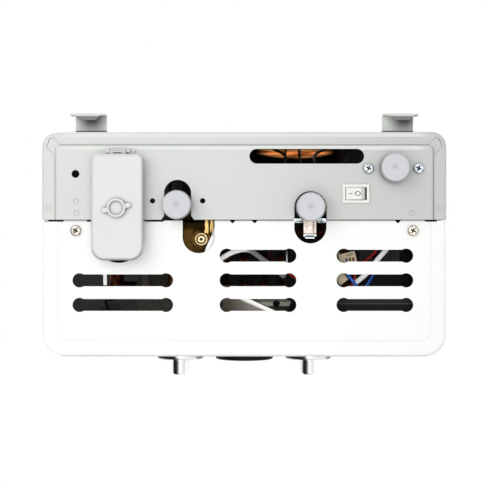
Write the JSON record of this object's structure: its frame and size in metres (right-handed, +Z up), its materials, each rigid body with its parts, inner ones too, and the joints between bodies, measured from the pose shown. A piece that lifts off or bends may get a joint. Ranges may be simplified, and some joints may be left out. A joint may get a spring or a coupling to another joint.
{
  "type": "portable propane water heater",
  "caption": "Wall-hung sheet-metal gas water heater with capped connections below, front valve knobs, a round display, a battery box, a rocker switch and a flue cap on top.",
  "frame": {"origin": "midway between the two wall holes of the hanger bar, on the wall plane", "axes": "+Z up, +Y into the wall, -Y to the front, +X to the right of someone who faces the front"},
  "size_m": [0.324, 0.2155, 0.5684],
  "materials": {
    "grey_paint": "satin",
    "white_paint": "satin",
    "zinc": "satin",
    "steel_dark": "satin",
    "grip_rubber": "matte",
    "chrome": "polished",
    "window_glass": "polished",
    "black_gloss": "gloss",
    "black_plastic": "matte",
    "brass": "satin",
    "cast_zinc": "satin",
    "copper": "satin",
    "cap_plastic": "satin",
    "lid_plastic": "satin",
    "rocker_plastic": "satin",
    "connector_nylon": "satin",
    "blue_wire": "satin",
    "red_wire": "satin",
    "white_sleeve": "satin",
    "ceramic": "gloss",
    "aluminised_steel": "satin",
    "cell_jacket": "gloss",
    "spring_steel": "satin"
  },
  "bodies": {
    "casing": {"back_panel": "grey_paint", "base_plate": "grey_paint", "front_cover": "white_paint", "casing_screws": "zinc", "wall_brackets": "grey_paint", "hanger_bar": "zinc", "bracket_rivets": "zinc", "handle_ears": "zinc", "window_frame": "chrome", "window_glass": "window_glass", "display_bezel": "black_gloss", "display_lens": "black_gloss", "display_module": "black_plastic", "water_valve_body": "brass", "valve_brackets": "zinc", "diaphragm_housing": "cast_zinc", "gas_valve_body": "cast_zinc", "solenoid_strap": "zinc", "gas_solenoid": "steel_dark", "microswitch": "black_plastic", "hot_outlet_fitting": "brass", "outlet_bracket": "zinc", "gas_inlet_fitting": "brass", "cold_pipe": "copper", "hot_pipe": "copper", "gas_pipe": "copper", "burner_frame": "aluminised_steel", "burner_bars": "aluminised_steel", "gas_manifold": "cast_zinc", "electrodes": "ceramic", "ignition_leads": "black_plastic", "chamber_jacket": "copper", "exchanger_fins": "copper", "exchanger_tubes": "copper", "flue_hood": "aluminised_steel", "rain_cap": "white_paint", "thermostat": "zinc", "ignition_box": "black_plastic", "switch_housing": "rocker_plastic", "wire_connectors": "connector_nylon", "wire_blue": "blue_wire", "wire_red": "red_wire", "wire_sleeves": "white_sleeve", "battery_box": "lid_plastic", "battery_cells": "cell_jacket", "battery_contacts": "spring_steel"},
    "handle": {"handle_bar": "zinc", "handle_grip": "grip_rubber"},
    "battery_lid": {"battery_lid": "lid_plastic"},
    "lid_latch": {"lid_latch": "lid_plastic"},
    "rocker": {"rocker": "rocker_plastic"},
    "gas_control": {"gas_knob": "chrome", "gas_stem": "brass"},
    "water_control": {"water_knob": "chrome", "water_stem": "brass"},
    "cold_cap": {"cold_inlet_cap": "cap_plastic"},
    "hot_cap": {"hot_outlet_cap": "cap_plastic"},
    "gas_cap": {"gas_inlet_cap": "cap_plastic"},
    "drain_plug": {"drain_plug": "zinc"},
    "push_rod": {"push_rod": "spring_steel"}
  },
  "joints": [
    {"name": "handle_swing", "type": "hinge", "parent": "casing", "child": "handle", "pos_m": [0, -0.008, -0.034], "axis": [1, 0, 0], "range_deg": [0, 180]},
    {"name": "battery_lid_hinge", "type": "hinge", "parent": "casing", "child": "battery_lid", "pos_m": [0.1004, -0.0322, -0.5389], "axis": [1, 0, 0], "range_deg": [0, 100]},
    {"name": "lid_latch_turn", "type": "hinge", "parent": "battery_lid", "child": "lid_latch", "pos_m": [0.1008, -0.0774, -0.5491], "axis": [0, 0, 1], "range_deg": [0, 90]},
    {"name": "rocker_press", "type": "hinge", "parent": "casing", "child": "rocker", "pos_m": [-0.0891, -0.0657, -0.5315], "axis": [0, 1, 0], "range_deg": [0, 14]},
    {"name": "gas_knob_turn", "type": "hinge", "parent": "casing", "child": "gas_control", "pos_m": [-0.0544, -0.196, -0.462], "axis": [0, 1, 0], "range_deg": [-135, 135]},
    {"name": "water_knob_turn", "type": "hinge", "parent": "casing", "child": "water_control", "pos_m": [0.0544, -0.196, -0.462], "axis": [0, 1, 0], "range_deg": [-135, 135]},
    {"name": "cold_cap_pull", "type": "slide", "parent": "casing", "child": "cold_cap", "axis": [0, 0, -1], "range_m": [0, 0.03]},
    {"name": "hot_cap_pull", "type": "slide", "parent": "casing", "child": "hot_cap", "axis": [0, 0, -1], "range_m": [0, 0.03]},
    {"name": "gas_cap_pull", "type": "slide", "parent": "casing", "child": "gas_cap", "axis": [0, 0, -1], "range_m": [0, 0.03]},
    {"name": "drain_plug_pull", "type": "slide", "parent": "casing", "child": "drain_plug", "axis": [0, 0, -1], "range_m": [0, 0.025]},
    {"name": "push_rod_slide", "type": "slide", "parent": "casing", "child": "push_rod", "axis": [-1, 0, 0], "range_m": [0, 0.004], "stiffness_N_per_m": 300}
  ]
}
